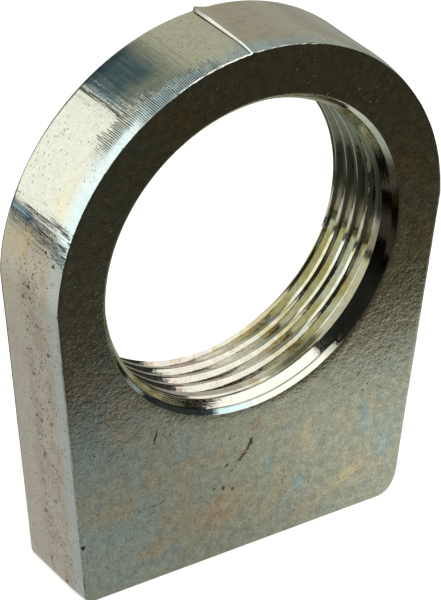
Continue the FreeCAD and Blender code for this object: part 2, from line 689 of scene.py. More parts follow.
class NodeSheet:
    """One material's node tree, with short calls for the nodes that the finishes use."""

    def __init__(self, name: str) -> None:
        """Starts an empty material.

        Args:
            name: The material's name.
        """
        self.material = bpy.data.materials.new(name)
        self.material.use_nodes = True
        self.tree = self.material.node_tree
        self.tree.nodes.clear()

    @cached_property
    def place(self) -> NodeSocket:
        """The place on the piece, in millimetres."""
        metres = self.add("ShaderNodeTexCoord").outputs["Object"]
        return self.add("ShaderNodeMapping", {"Vector": metres, "Scale": (1 / MM, 1 / MM, 1 / MM)}).outputs[0]

    @cached_property
    def axes(self) -> tuple[NodeSocket, NodeSocket, NodeSocket]:
        """The place's three coordinates apart."""
        node = self.add("ShaderNodeSeparateXYZ", {0: self.place})
        return node.outputs[0], node.outputs[1], node.outputs[2]

    @cached_property
    def bearing(self) -> NodeSocket:
        """The angle round the bore, in degrees from +X towards +Z."""
        x, _, z = self.axes
        return self.product(self.maths("ARCTAN2", z, x), 180 / math.pi)

    def add(self, kind: str, inputs: dict | None = None, **settings: object) -> Node:
        """Adds a node.

        Args:
            kind: The node's type.
            inputs: Values or sockets for its inputs, by name or number.
            **settings: Its own settings.

        Returns:
            The node.
        """
        node = self.tree.nodes.new(kind)
        for name, value in settings.items():
            setattr(node, name, value)
        for key, value in (inputs or {}).items():
            if isinstance(value, NodeSocket):
                self.tree.links.new(value, node.inputs[key])
            else:
                node.inputs[key].default_value = value
        return node

    def stretched(self, scale: Place | None) -> NodeSocket:
        """Scales the place by axis, so that a pattern is drawn out where the scale is small.

        Args:
            scale: The scale of each axis, or None for the place itself.

        Returns:
            The scaled place.
        """
        if scale is None:
            return self.place
        return self.add("ShaderNodeMapping", {"Vector": self.place, "Scale": scale}).outputs[0]

    def noise(
        self, size: float, detail: float = 3.0, rough: float = 0.55, twist: float = 0.0,
        scale: Place | None = None,
    ) -> NodeSocket:
        """Noise from 0 to 1 with features of a size.

        Args:
            size: Their size.
            detail: How many finer layers it has.
            rough: How strong those are.
            twist: How much it swirls.
            scale: How it is stretched, by axis.

        Returns:
            The noise.
        """
        inputs = {
            "Vector": self.stretched(scale), "Scale": 1 / size, "Detail": detail, "Roughness": rough,
            "Distortion": twist,
        }
        return self.add("ShaderNodeTexNoise", inputs).outputs[0]

    def maths(self, operation: str, first: object, second: object = 0.0, third: object = 0.0) -> NodeSocket:
        """One sum of up to three numbers or sockets."""
        return self.add("ShaderNodeMath", {0: first, 1: second, 2: third}, operation=operation).outputs[0]

    def product(self, *factors: object) -> NodeSocket:
        """Multiplies factors.

        Args:
            *factors: Numbers or sockets.

        Returns:
            Their product, or the factor itself where there is one.
        """
        result = factors[0]
        for factor in factors[1:]:
            result = self.maths("MULTIPLY", result, factor)
        return result

    def between(
        self, value: NodeSocket, low: float, high: float, out_low: float = 0.0, out_high: float = 1.0
    ) -> NodeSocket:
        """Eases a value from one range to another, held at both ends.

        Args:
            value: The value.
            low: Where the ease starts.
            high: Where it ends. It may be below low.
            out_low: What low becomes.
            out_high: What high becomes.

        Returns:
            The eased value.
        """
        if low > high:
            low, high, out_low, out_high = high, low, out_high, out_low
        return self.add(
            "ShaderNodeMapRange", {0: value, 1: low, 2: high, 3: out_low, 4: out_high},
            interpolation_type="SMOOTHSTEP",
        ).outputs[0]

    def near(self, value: NodeSocket, centre: float, outer: float, inner: float) -> NodeSocket:
        """Marks where a value is near a centre.

        Args:
            value: The value.
            centre: The value in the middle of the mark.
            outer: How far from there the mark ends.
            inner: How far from there it is still full.

        Returns:
            1 in the middle and 0 outside.
        """
        away = self.maths("ABSOLUTE", self.maths("SUBTRACT", value, centre))
        return self.between(away, outer, inner)

    def band(self, value: NodeSocket, start: float, full: float, fade: float, end: float) -> NodeSocket:
        """Marks a range of a value, from 0 at its start over 1 in its middle to 0 at its end."""
        return self.product(self.between(value, start, full), self.between(value, end, fade))

    def mix(self, colour: object, other: object, *factors: object) -> NodeSocket:
        """Mixes another colour into a colour.

        Args:
            colour: A colour or socket.
            other: The colour or socket that is mixed in.
            *factors: Its share is their product.

        Returns:
            The mixed colour.
        """
        first, second = (c if isinstance(c, NodeSocket) else (*c, 1.0) for c in (colour, other))
        inputs = {0: self.product(*factors), 6: first, 7: second}
        return self.add("ShaderNodeMix", inputs, data_type="RGBA").outputs[2]

    def shade(
        self, colour: NodeSocket, value: NodeSocket, low: float, high: float, amount: float
    ) -> NodeSocket:
        """Makes a colour darker where a value is low and lighter where it is high.

        Args:
            colour: The colour.
            value: The pattern.
            low: The pattern's value for the darkest places.
            high: Its value for the lightest.
            amount: How much darker and lighter.

        Returns:
            The shaded colour.
        """
        level = self.between(value, low, high, 1 - amount, 1 + amount)
        return self.add("ShaderNodeVectorMath", {0: colour, 3: level}, operation="SCALE").outputs[0]

    def spots(self, spacing: float, radius: float, share: object, scale: Place | None = None) -> NodeSocket:
        """Scattered round spots.

        Args:
            spacing: Size of the cells that may hold one.
            radius: Their mean radius.
            share: What share of the cells holds one.
            scale: How they are stretched, by axis.

        Returns:
            1 in a spot and 0 outside.
        """
        inputs = {"Vector": self.stretched(scale), "Scale": 1 / spacing, "Randomness": 1.0}
        cells = self.add("ShaderNodeTexVoronoi", inputs)
        chance = self.add("ShaderNodeSeparateColor", {0: cells.outputs["Color"]})
        reach = self.maths("MULTIPLY_ADD", chance.outputs[1], radius / spacing, 0.5 * radius / spacing)
        inside = self.between(self.maths("DIVIDE", cells.outputs["Distance"], reach), *SPOT_RIM)
        return self.product(inside, self.maths("LESS_THAN", chance.outputs[0], share))

    def blob(self, stain: Stain) -> NodeSocket:
        """A soft oval on a face, or a scratch where it is long and thin.

        Args:
            stain: Its place, size and outline.

        Returns:
            1 inside and 0 outside.
        """
        inputs = {
            "Vector": self.place, "Location": (stain.x, 0, stain.z),
            "Rotation": (0, -math.radians(stain.turn), 0), "Scale": (stain.wide, 1000.0, stain.tall),
        }
        centred = self.add("ShaderNodeMapping", inputs, vector_type="TEXTURE").outputs[0]
        away = self.add("ShaderNodeVectorMath", {0: centred}, operation="LENGTH").outputs["Value"]
        if stain.ragged:
            grain = self.noise(min(stain.wide, stain.tall) * 0.7, 4, 0.65)
            away = self.maths("MULTIPLY_ADD", self.maths("SUBTRACT", grain, 0.5), stain.ragged, away)
        return self.between(away, 1.0, 1.0 - stain.soft)

    def bump(
        self, height: NodeSocket, depth: float, base: NodeSocket | None = None, strength: object = 1.0
    ) -> NodeSocket:
        """Bump from a height from 0 to 1.

        Args:
            height: The height.
            depth: What a height of 1 is, in millimetres.
            base: The normal that it adds to.
            strength: How much of it shows.

        Returns:
            The bumped normal.
        """
        inputs = {"Strength": strength, "Distance": depth * MM, "Height": height}
        if base:
            inputs["Normal"] = base
        return self.add("ShaderNodeBump", inputs).outputs[0]

    def dent(self, marks: NodeSocket, depth: float, base: NodeSocket) -> NodeSocket:
        """Sinks marks into a bumped normal, by a depth in millimetres."""
        return self.bump(self.maths("SUBTRACT", 1.0, marks), depth, base)

    def metal(self, colour: NodeSocket, roughness: NodeSocket, normal: NodeSocket) -> Material:
        """Closes the material as bare metal.

        Args:
            colour: Its reflection colour.
            roughness: Its roughness.
            normal: Its bumped normal.

        Returns:
            The material.
        """
        shader = self.add(
            "ShaderNodeBsdfPrincipled",
            {"Base Color": colour, "Metallic": 1.0, "Roughness": roughness, "Normal": normal},
        )
        self.add("ShaderNodeOutputMaterial", {"Surface": shader.outputs[0]})
        return self.material


BLUE = (0.235, 0.30, 0.315)
TAN = (0.36, 0.275, 0.17)
YELLOW = (0.42, 0.37, 0.25)
RUST = (0.05, 0.034, 0.02)
SMEAR = (0.27, 0.19, 0.10)
SCORED = (0.7, 0.68, 0.58)

FRONT_STAINS = (
    Stain(-30.0, -27.0, 4.0, 7.0, 0, BLUE, 0.6, 0.9, 1.0),
    Stain(-25.0, -43.5, 6.5, 4.5, 0, BLUE, 0.45, 0.9, 1.0),
    Stain(-12.5, -43.0, 4.5, 6.0, 0, TAN, 0.35, 0.9, 1.0),
    Stain(-12.7, -31.8, 2.4, 4.6, 0, BLUE, 0.6, 0.9, 0.8),
    Stain(-5.5, -46.5, 9.0, 5.0, 32, TAN, 0.7, 0.9, 1.0),
    Stain(-18.6, -35.5, 2.0, 4.6, 0, TAN, 0.5, 0.9, 0.8),
    Stain(-17.5, -49.5, 6.0, 2.4, 10, TAN, 0.6, 0.9, 0.8),
    Stain(-12.3, -38.0, 1.6, 4.0, 0, TAN, 0.45, 0.9, 0.8),
    Stain(12.0, -37.5, 2.5, 5.0, 10, YELLOW, 0.5, 0.9, 1.0),
    Stain(20.5, -48.5, 5.5, 1.6, 28, YELLOW, 0.8, 0.8, 1.0),
    Stain(23.5, -37.5, 2.0, 5.5, 8, BLUE, 0.7, 0.8, 0.8),
    Stain(28.0, -45.0, 3.0, 3.5, 0, BLUE, 0.7, 0.8, 0.8),
    Stain(10.5, -46.5, 2.4, 2.2, 0, BLUE, 0.8, 0.8, 0.8),
    Stain(4.5, -41.0, 1.4, 3.2, 0, BLUE, 0.5, 0.8, 0.8),
    Stain(1.6, -32.1, 1.1, 2.4, -10, SMEAR, 0.6, 0.9, 1.2),
    Stain(-1.0, -37.0, 2.6, 0.9, 60, SMEAR, 0.5, 0.9, 1.2),
    Stain(0.6, -34.9, 0.95, 0.65, 80, RUST, 0.95, 0.6, 2.6),
    Stain(0.1, -36.0, 0.9, 0.42, 62, RUST, 0.9, 0.6, 3.2),
    Stain(-0.7, -37.0, 0.9, 0.45, 40, RUST, 0.9, 0.6, 3.2),
    Stain(-1.5, -37.7, 0.6, 0.3, 30, RUST, 0.85, 0.6, 3.0),
    Stain(-2.9, -39.4, 0.35, 0.25, 30, RUST, 0.8),
    Stain(-18.0, -27.7, 1.9, 0.25, 76, strength=0.95),
    Stain(-18.0, -40.9, 0.9, 0.16, -8),
    Stain(-16.3, -40.6, 1.0, 0.16, 28),
    Stain(7.9, 34.9, 0.8, 0.10, 84, SCORED, 0.7),
    Stain(7.3, 34.2, 1.0, 0.10, 84, SCORED, 0.7),
    Stain(-6.3, -41.8, 0.40, 0.30, 0),
    Stain(-4.5, -42.3, 0.35, 0.60, 0, strength=0.95),
    Stain(-2.7, -43.0, 0.40, 0.42, 0),
    Stain(-4.0, -38.0, 0.50, 0.40, 20),
    Stain(-31.5, -44.2, 0.55, 0.75, 90, (0.02, 0.02, 0.015), 1.0),
)


def left_edge_shade(sheet: NodeSheet) -> NodeSocket:
    """Marks painted shade on the rounded edge where the front face meets its left side, below the head: a
    dark, uneven line.

    Args:
        sheet: The sheet it is drawn on.

    Returns:
        Up to 0.85 on the line and 0 elsewhere.
    """
    x, y, z = sheet.axes
    from_side = sheet.maths("ADD", x, CutPlate.half_width)
    inward = sheet.maths("MULTIPLY_ADD", z, math.tan(CutPlate.lean), from_side)
    uneven = sheet.maths("MULTIPLY_ADD", sheet.noise(0.8, 3, 0.6), -0.5, inward)
    front = sheet.between(y, FRONT_Y + 0.4, FRONT_Y + 0.25)
    return sheet.product(sheet.between(uneven, 0.42, 0.12), front, sheet.between(z, 2, -12), 0.85)


@dataclass(frozen=True)
class PlatedFace:
    """Plating over the rolled face of the plate: grey-green with blue and tan stains, pits and fine grain."""

    name: str = "plated_face"
    grey: Colour = (0.285, 0.285, 0.235)
    speck: Colour = (0.075, 0.065, 0.045)
    # Dark colour of the pits, also used for the painted shade along the left edge.
    pit_and_edge_shade: Colour = (0.05, 0.04, 0.028)
    stains: tuple[Stain, ...] = ()
    roughness: float = 0.11

    def material(self) -> Material:
        """Builds the material.

        Returns:
            The material.
        """
        sheet = NodeSheet(self.name)
        colour = sheet.mix(self.grey, BLUE, sheet.between(sheet.axes[0], -4, -28, 0, 0.25))
        cloud = sheet.between(sheet.noise(12, 4, 0.6, 0.6), 0.50, 0.68, 0, 0.4)
        colour = sheet.mix(colour, BLUE, cloud)
        cloud = sheet.between(sheet.noise(9, 4, 0.6, 0.4, (1, 1, 0.8)), 0.50, 0.70, 0, 0.4)
        colour = sheet.mix(colour, TAN, cloud)
        for stain in self.stains:
            colour = sheet.mix(colour, stain.colour, sheet.blob(stain), stain.strength)
        mottle = sheet.noise(1.6, 5, 0.7)
        colour = sheet.shade(colour, mottle, 0.32, 0.68, 0.18)
        colour = sheet.shade(colour, sheet.noise(0.35, 2, 0.6), 0.32, 0.68, 0.15)
        crowd = sheet.between(sheet.noise(6, 3), 0.42, 0.66, 0.04, 0.5)
        specks = sheet.product(sheet.spots(0.9, 0.15, crowd), 0.6)
        pits = sheet.spots(3.2, 0.24, 0.11)
        colour = sheet.mix(colour, self.speck, specks)
        colour = sheet.mix(colour, self.pit_and_edge_shade, pits, 0.8)
        # Painted shade along the edge with the left side, in the pits' colour.
        colour = sheet.mix(colour, self.pit_and_edge_shade, left_edge_shade(sheet))
        rough = sheet.between(mottle, 0.25, 0.75, self.roughness * 0.8, self.roughness * 1.5)
        normal = sheet.bump(sheet.noise(0.6, 4, 0.6), 0.068)
        normal = sheet.bump(sheet.noise(3.0, 2, 0.5), 0.05, normal)
        normal = sheet.dent(sheet.maths("MAXIMUM", specks, pits), 0.04, normal)
        return sheet.metal(colour, rough, normal)


@dataclass(frozen=True)
class CutEdge:
    """Plating over the cut edge: warm grey, drag lines across it, pits and a brown stain along its middle.

    Its marks lie by height z, by depth y and, round the head, by bearing in degrees.
    """

    name: str = "cut_edge"
    warm: Colour = (0.425, 0.40, 0.33)
    cool: Colour = (0.42, 0.465, 0.45)
    tan: Colour = (0.47, 0.41, 0.27)
    rose: Colour = (0.42, 0.355, 0.315)
    # The blue and the navy paint reflections of the dark room and the dark floor on the head.
    blue: Colour = (0.095, 0.155, 0.195)
    navy_reflection: Colour = (0.05, 0.055, 0.085)
    # Dark lines: real drag lines and scratches, with painted reflection in the streaks and painted shade at
    # the step's foot.
    score_and_shade: Colour = (0.07, 0.07, 0.06)
    brown: Colour = (0.27, 0.20, 0.145)
    # Dark colour of the pits, also used for the painted shade along the left edge.
    pit_and_edge_shade: Colour = (0.05, 0.035, 0.025)
    fleck: Colour = (0.10, 0.085, 0.06)
    bright: Colour = (0.95, 0.95, 0.88)
    roughness: float = 0.11
    comb_pitch: float = 0.33
    # Bearing of the painted shade at the foot of the raised step.
    step_shade_bearing: float = 93.4

    def toned(self, sheet: NodeSheet) -> NodeSocket:
        """Lays the plating's broad tones, and a painted reflection of the dark room: the blue patch at the
        upper left of the head.

        Args:
            sheet: The sheet it is drawn on.

        Returns:
            The colour.
        """
        _, y, z = sheet.axes
        cloud = sheet.between(sheet.noise(9, 3, 0.6, 0.3), 0.46, 0.66)
        colour = sheet.mix(self.warm, self.tan, cloud, sheet.band(z, -8, 4, 14, 24))
        cloud = sheet.between(sheet.noise(7, 3, 0.6), 0.48, 0.66)
        colour = sheet.mix(colour, self.rose, cloud, sheet.between(z, 2, -16))
        wobble = sheet.maths("MULTIPLY_ADD", sheet.noise(3, 3), 1.4, y)
        colour = sheet.mix(colour, self.cool, sheet.between(wobble, -3.4, -6.4, 0, 0.9))
        ragged = sheet.maths("MULTIPLY_ADD", sheet.noise(4, 3, 0.6), 5.0, y)
        # Painted reflection: the head reflects the dark room above the left box here, as a blue patch that
        # turns navy towards the back edge.
        patch = sheet.band(sheet.bearing, 109, 117, 125.5, 127.5)
        patch = sheet.product(patch, sheet.between(ragged, -0.5, 4.0))
        drawn = sheet.noise(0.6, 3, 0.6, scale=(1, 0.05, 1))
        colour = sheet.mix(colour, self.blue, patch, sheet.between(drawn, 0.4, 0.62, 0.98, 0.72))
        return sheet.mix(colour, self.navy_reflection, patch, sheet.between(y, 5.0, 8.0, 0.0, 0.7))

    def worn(self, sheet: NodeSheet, colour: NodeSocket, mottle: NodeSocket) -> tuple[NodeSocket, NodeSocket]:
        """Adds the brown stain, flecks and pits along the middle of the sides.

        Args:
            sheet: The sheet it is drawn on.
            colour: The colour so far.
            mottle: The plating's own pattern.

        Returns:
            The colour, and the pits as 1 on 0.
        """
        _, y, z = sheet.axes
        low = sheet.product(sheet.near(y, -1.4, 5.4, 1.6), sheet.between(z, 16, 2))
        colour = sheet.mix(colour, self.brown, low, sheet.between(sheet.noise(4, 5, 0.7), 0.40, 0.64), 0.55)
        colour = sheet.shade(colour, mottle, 0.32, 0.68, 0.06)
        colour = sheet.shade(colour, sheet.noise(0.4, 2), 0.3, 0.7, 0.05)
        crowd = sheet.between(sheet.noise(3.5, 3), 0.42, 0.62, 0.03, 0.85)
        colour = sheet.mix(colour, self.fleck, sheet.spots(0.5, 0.12, crowd, (1, 1, 0.55)), 0.7)
        worn = sheet.product(low, sheet.between(sheet.noise(5, 3), 0.35, 0.6, 0.35, 1.0))
        large = sheet.spots(1.5, 0.30, sheet.product(worn, 0.8))
        pits = sheet.maths("MAXIMUM", sheet.spots(0.6, 0.13, worn), large)
        return sheet.mix(colour, self.pit_and_edge_shade, pits, 0.85), pits

    def streaked(self, sheet: NodeSheet, colour: NodeSocket) -> tuple[NodeSocket, NodeSocket]:
        """Adds two groups of dark streaks with painted reflection in their colour, a painted reflection of
        the dark floor among the lower ones, and painted shade at the step's foot.

        Args:
            sheet: The sheet it is drawn on.
            colour: The colour so far.

        Returns:
            The colour, and the streaks as 1 on 0.
        """
        y = sheet.axes[1]
        turn = sheet.bearing
        lower_end = sheet.maths("ADD", turn, sheet.between(y, -2, 6, 0.0, 4.5))
        lower = sheet.product(sheet.between(turn, 156.5, 158.5), sheet.between(lower_end, 167, 163))
        upper = sheet.band(turn, 124.8, 125.6, 127.4, 128.6)
        upper = sheet.product(upper, sheet.between(y, -5.5, -2.5, 0.0, 0.9))
        lines = sheet.between(sheet.noise(0.42, 2, 0.5, scale=(1, 0.04, 1)), 0.545, 0.57)
        streaks = sheet.product(lines, sheet.maths("MAXIMUM", lower, upper))
        # The streaks are dented as real drag lines, and their dark colour also paints the dark band that
        # those lines reflect.
        colour = sheet.mix(colour, self.score_and_shade, streaks, 0.9)
        # Painted reflection of the dark, far floor, as a blue blob.
        dark_floor_reflection = sheet.product(sheet.near(turn, 160.6, 1.6, 0.8), sheet.between(y, 0.5, 2.0))
        colour = sheet.mix(colour, self.blue, dark_floor_reflection, 0.7)
        # Painted shade: a thin dark line at the foot of the raised step's wall.
        return sheet.mix(colour, self.score_and_shade, sheet.near(turn, self.step_shade_bearing, 0.32, 0.12), 0.7), streaks

    def comb(self, sheet: NodeSheet) -> tuple[NodeSocket, NodeSocket]:
        """Draws the fine, even drag lines of the cut next to the front edge of the head.

        Args:
            sheet: The sheet it is drawn on.

        Returns:
            The lines as a height from 0 to 1, and where they reach.
        """
        y = sheet.axes[1]
        turn = sheet.bearing
        drift = sheet.product(sheet.noise(2.0, 3, 0.6, scale=(1, 0.03, 1)), 12.0)
        lines_in_degree = math.radians(CutPlate.head_radius) / self.comb_pitch
        waves = sheet.maths("MULTIPLY_ADD", turn, 2 * math.pi * lines_in_degree, drift)
        comb = sheet.maths("MULTIPLY_ADD", sheet.maths("SINE", waves), 0.5, 0.5)
        ends = sheet.maths("SUBTRACT", sheet.noise(0.5, 1, 0.5, scale=(1, 0.02, 1)), 0.5)
        inner = sheet.maths("ADD", y, sheet.between(turn, 94, 140, 6.3, 3.4))
        inner = sheet.between(sheet.maths("MULTIPLY_ADD", ends, 6.0, inner), 0.6, -0.6)
        front = sheet.maths("MAXIMUM", sheet.between(turn, 129, 122), sheet.between(y, -7.0, -5.9))
        return comb, sheet.product(sheet.band(turn, 98, 107, 133, 143), inner, front)

    def material(self) -> Material:
        """Builds the material.

        Returns:
            The material.
        """
        sheet = NodeSheet(self.name)
        _, y, z = sheet.axes
        mottle = sheet.noise(1.3, 5, 0.7)
        colour, pits = self.worn(sheet, self.toned(sheet), mottle)
        colour, streaks = self.streaked(sheet, colour)
        comb, reach = self.comb(sheet)
        # Painted reflection: dark blue over the comb's reach between 100 and 128 degrees, where the roll
        # reflects the dark room.
        colour = sheet.mix(colour, self.blue, reach, sheet.band(sheet.bearing, 100, 110, 119, 128), 0.5)
        uneven = sheet.between(sheet.noise(1.4, 2), 0.3, 0.55, 0.4, 0.95)
        colour = sheet.mix(colour, self.score_and_shade, reach, sheet.between(comb, 0.72, 0.32), uneven)
        burr = sheet.product(sheet.between(y, -7.8, -7.95), sheet.band(sheet.bearing, 64, 74, 108, 120))
        broken = sheet.between(sheet.noise(0.7, 3), 0.40, 0.56, 0.1, 1.0)
        colour = sheet.mix(colour, self.bright, burr, broken, 0.9)
        # Painted shade along the edge with the left side, in the pits' colour.
        colour = sheet.mix(colour, self.pit_and_edge_shade, left_edge_shade(sheet))
        drag = sheet.noise(0.8, 3, 0.6, scale=(1, 0.06, 1))
        normal = sheet.bump(drag, 0.05, None, sheet.between(z, 2, 18, 0.25, 1.0))
        normal = sheet.bump(sheet.noise(0.6, 4, 0.6), 0.018, normal)
        normal = sheet.bump(comb, 0.05, normal, reach)
        normal = sheet.dent(sheet.maths("MAXIMUM", pits, streaks), 0.08, normal)
        rough = sheet.between(mottle, 0.25, 0.75, self.roughness * 0.8, self.roughness * 1.5)
        return sheet.metal(colour, rough, normal)


@dataclass(frozen=True)
class TurnedBore:
    """Bright plating over the turned bore and thread, with fine lines round it and a yellow tint.

    Its tints and shadows lie by depth y along the bore, and by x and z round it.
    """

    name: str = "turned_bore"
    bright: Colour = (0.70, 0.70, 0.63)
    thread: Colour = (0.57, 0.565, 0.50)
    yellow: Colour = (0.47, 0.41, 0.22)
    steel: Colour = (0.46, 0.63, 0.68)
    shadow: Colour = (0.10, 0.115, 0.09)
    olive: Colour = (0.20, 0.175, 0.105)
    umber: Colour = (0.06, 0.05, 0.033)
    rose: Colour = (0.58, 0.53, 0.49)
    brown: Colour = (0.45, 0.34, 0.20)
    # Grey for the painted shade in the bore.
    bore_shade: Colour = (0.29, 0.305, 0.25)
    line: Colour = (0.06, 0.065, 0.055)
    roughness: float = 0.08

    def tinted(self, sheet: NodeSheet) -> NodeSocket:
        """Lays the tints of the thread and of the bright, smooth stretch before it, and painted shade over
        the right and the upper half of the bore.

        Args:
            sheet: The sheet it is drawn on.

        Returns:
            The colour.
        """
        x, y, z = sheet.axes
        right = sheet.product(sheet.between(x, 4, 14), sheet.between(z, -2, -10))
        cloud = sheet.between(sheet.noise(5, 3, 0.6, 0.5), 0.38, 0.56, 0.15, 1.0)
        colour = sheet.mix(self.thread, self.yellow, right, cloud)
        cloud = sheet.between(sheet.noise(6, 2), 0.42, 0.6)
        colour = sheet.mix(colour, self.rose, sheet.between(x, 8, -2), cloud)
        colour = sheet.mix(colour, self.brown, sheet.between(sheet.noise(3, 4, 0.65), 0.58, 0.68, 0, 0.6))
        # Painted shade: darker towards the right and over the upper half of the bore.
        colour = sheet.mix(colour, self.bore_shade, sheet.between(x, 8, 18), 0.35)
        colour = sheet.mix(colour, self.bore_shade, sheet.between(z, -6, 6), 0.75)
        colour = sheet.mix(colour, self.bright, sheet.between(y, -5.4, -5.8))
        # Painted shade on the right of the smooth stretch.
        return sheet.mix(colour, self.bore_shade, sheet.between(y, -5.0, -5.4), sheet.between(x, 13, 19), 0.75)

    def shadowed(self, sheet: NodeSheet, colour: NodeSocket) -> NodeSocket:
        """Adds the rim's steel tint, and darkens the mouth, the land, the upper grooves and the shoulders.

        Args:
            sheet: The sheet it is drawn on.
            colour: The colour so far.

        Returns:
            The colour.
        """
        x, y, z = sheet.axes
        rim = sheet.between(y, -7.2, -7.5)
        lower_left = sheet.product(sheet.between(x, 6, -4), sheet.between(z, -10, -18))
        colour = sheet.mix(colour, self.steel, rim, lower_left, 0.9)
        colour = sheet.mix(colour, self.shadow, rim, sheet.between(x, -17, -20), 0.85)
        mouth = sheet.product(sheet.between(y, -5.6, -5.9), sheet.between(x, 12, 20))
        colour = sheet.mix(
            colour, self.umber, mouth, sheet.between(z, 13, 8), sheet.between(z, -14, -9, 0.35, 0.94)
        )
        land = sheet.product(sheet.band(y, -5.9, -5.6, -4.3, -3.9), sheet.between(x, 4, 10))
        colour = sheet.mix(colour, self.olive, land, sheet.between(z, -2, -6), 0.85)
        pitch = ThreadedBore.pitch
        first = -(FRONT_Y + ThreadedBore.crest_depth) / pitch
        turn = sheet.maths("MULTIPLY_ADD", sheet.bearing, 1 / 360, first)
        turn = sheet.maths("MULTIPLY_ADD", y, 1 / pitch, turn)
        across = sheet.maths("ABSOLUTE", sheet.maths("SUBTRACT", turn, sheet.maths("ROUND", turn)))
        groove = sheet.product(sheet.between(across, 0.12, 0.2), sheet.between(y, -5.6, -5.2))
        colour = sheet.mix(colour, self.shadow, groove, sheet.between(z, -6, 0), 0.8)
        faint = sheet.between(x, 20, 12, 0.1, 0.75)
        for depth in (ThreadedBore.countersink_depth, ThreadedBore.lead_in_depth):
            colour = sheet.mix(colour, self.line, sheet.near(y, FRONT_Y + depth, 0.16, 0.06), faint)
        return colour

    def material(self) -> Material:
        """Builds the material.

        Returns:
            The material.
        """
        sheet = NodeSheet(self.name)
        colour = self.shadowed(sheet, self.tinted(sheet))
        grain = sheet.noise(1.0, 4)
        colour = sheet.shade(colour, grain, 0.3, 0.7, 0.10)
        colour = sheet.mix(colour, self.line, sheet.spots(2.2, 0.17, 0.25), 0.7)
        normal = sheet.bump(sheet.noise(0.35, 2, 0.5, scale=(0.02, 1, 0.02)), 0.012)
        normal = sheet.bump(grain, 0.014, normal)
        rough = sheet.between(grain, 0.3, 0.7, self.roughness * 0.7, self.roughness * 1.5)
        return sheet.metal(colour, rough, normal)


# Studio. Sizes and places are in metres, but those in a card's pattern are in millimetres.

# How far the two cards on the floor reach, and the line in front of the nut where they meet.
REACH = 2.9
CARD_START = -0.007


def hang(sheet: NodeSheet, corners: tuple[Place, ...], glow: object) -> Object:
    """Hangs a card that only reflections see.

    Args:
        sheet: The node sheet of its material, which gives it its name.
        corners: Its four corners.
        glow: The colour it gives off, or a socket with it.

    Returns:
        The card.
    """
    bm = bmesh.new()
    verts = [bmesh.ops.create_vert(bm, co=corner)["vert"][0] for corner in corners]
    bmesh.ops.contextual_create(bm, geom=verts)
    shader = sheet.add("ShaderNodeEmission", {"Color": glow, "Strength": 1.0})
    sheet.add("ShaderNodeOutputMaterial", {"Surface": shader.outputs[0]})
    card = finish_mesh(bm, sheet.material.name, sheet.material)
    card.visible_camera = False
    card.visible_shadow = False
    card.visible_diffuse = False
    return card


def lying(level: float, far_y: float) -> tuple[Place, ...]:
    """Corners of a card that lies flat, from the line where both cards meet.

    Args:
        level: Its height.
        far_y: Where along Y it ends.

    Returns:
        Its four corners.
    """
    plan = ((-REACH, CARD_START), (REACH, CARD_START), (REACH, far_y), (-REACH, far_y))
    return tuple((x, y, level) for x, y in plan)


def facing(azimuths: tuple[float, float], heights: tuple[float, float], reach: float) -> tuple:
    """Corners of an upright card round the nut.

    Args:
        azimuths: Its two sides, in degrees from +Y towards +X.
        heights: The elevations of its lower and upper edge, in degrees.
        reach: Its distance from the nut over the floor, in metres.

    Returns:
        Its four corners.
    """
    low, high = (reach * math.tan(math.radians(height)) for height in heights)
    left, right = (
        (reach * math.sin(math.radians(azimuth)), reach * math.cos(math.radians(azimuth)))
        for azimuth in azimuths
    )
    return ((*left, low), (*right, low), (*right, high), (*left, high))


@dataclass(frozen=True)
class SoftBox:
    """A rectangular soft light. The camera doesn't see it, but the metal reflects it."""

    name: str
    centre: Place
    aim: Place
    width: float
    height: float
    glow: float
    tint: Colour = (1.0, 0.99, 0.93)

    def build(self) -> Object:
        """Hangs the light.

        Returns:
            The light.
        """
        lamp = bpy.data.lights.new(self.name, "AREA")
        lamp.shape = "RECTANGLE"
        lamp.size = self.width
        lamp.size_y = self.height
        lamp.energy = self.glow * math.pi * self.width * self.height
        lamp.color = self.tint
        box = show(self.name, lamp)
        box.location = self.centre
        box.rotation_euler = (Vector(self.aim) - Vector(self.centre)).to_track_quat("-Z", "Y").to_euler()
        box.visible_camera = False
        return box


@dataclass(frozen=True)
class Card:
    """A grey card that only reflections see."""

    name: str
    corners: tuple[Place, ...]
    colour: Colour

    def build(self) -> Object:
        """Hangs the card."""
        return hang(NodeSheet(self.name), self.corners, (*self.colour, 1.0))


@dataclass(frozen=True)
class FrontTable:
    """What the front face reflects: a lit strip of the table before it, and the dark room beyond."""

    level: float
    lit_left: Colour = (0.61, 0.64, 0.58)
    lit_right: Colour = (1.15, 1.18, 1.05)
    dark: Colour = (0.086, 0.078, 0.050)
    dusk: Colour = (0.125, 0.112, 0.078)
    dusk_right: Colour = (0.18, 0.15, 0.093)
    shade: Colour = (0.022, 0.020, 0.014)
    far_left: Colour = (0.34, 0.35, 0.31)
    strip: float = 53.4

    def build(self) -> Object:
        """Lays the card.

        Returns:
            The card.
        """
        sheet = NodeSheet("front_table")
        x, y, _ = sheet.axes
        lit = sheet.mix(self.lit_left, self.lit_right, sheet.between(x, -8, 42))
        lit = sheet.shade(lit, y, -50, -12, 0.1)
        dark = sheet.mix(self.dark, self.dusk, sheet.between(x, 75, 50), sheet.between(y, -125, -85))
        dark = sheet.mix(dark, self.dusk_right, sheet.between(x, 40, 72), sheet.between(y, -102, -64))
        border = sheet.maths("ADD", y, sheet.between(x, 25, 62, self.strip, self.strip - 6.0))
        glow = sheet.mix(lit, dark, sheet.between(border, 2.2, -2.2))
        glow = sheet.mix(glow, self.shade, sheet.between(x, -35, -41))
        glow = sheet.mix(glow, self.far_left, sheet.band(x, -225, -180, -95, -55))
        return hang(sheet, lying(self.level, -REACH), glow)


